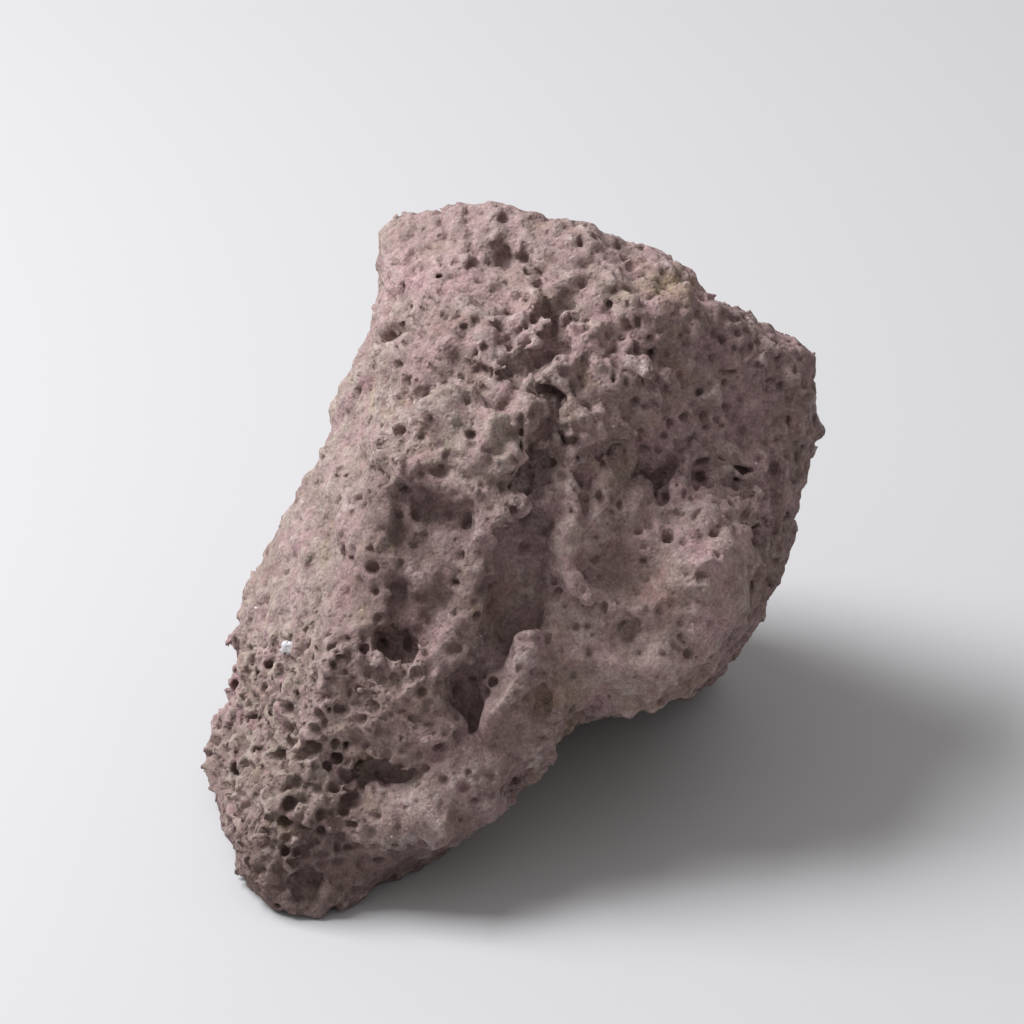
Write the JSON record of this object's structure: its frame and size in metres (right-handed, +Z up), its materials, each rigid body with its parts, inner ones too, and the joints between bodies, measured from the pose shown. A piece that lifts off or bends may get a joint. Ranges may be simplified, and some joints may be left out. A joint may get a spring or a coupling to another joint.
{
  "type": "lava rock",
  "caption": "Loose lava rock: an angular, bubble-pitted lump of mauve-brown scoria that rises from a long low foot to a blunt crest and rests on a flat patch underneath.",
  "frame": {"origin": "the middle of the stone's outline seen from above, on the plane it rests on", "axes": "+Z up from the resting face, -Y towards the front where the low foot is, +X to the right of the front"},
  "size_m": [0.0466, 0.046, 0.0415],
  "materials": {
    "lava_rock": "matte, rough and porous, unpolished broken scoria with open gas bubbles"
  },
  "bodies": {
    "root": {"lava_rock": "lava_rock"}
  },
  "joints": []
}
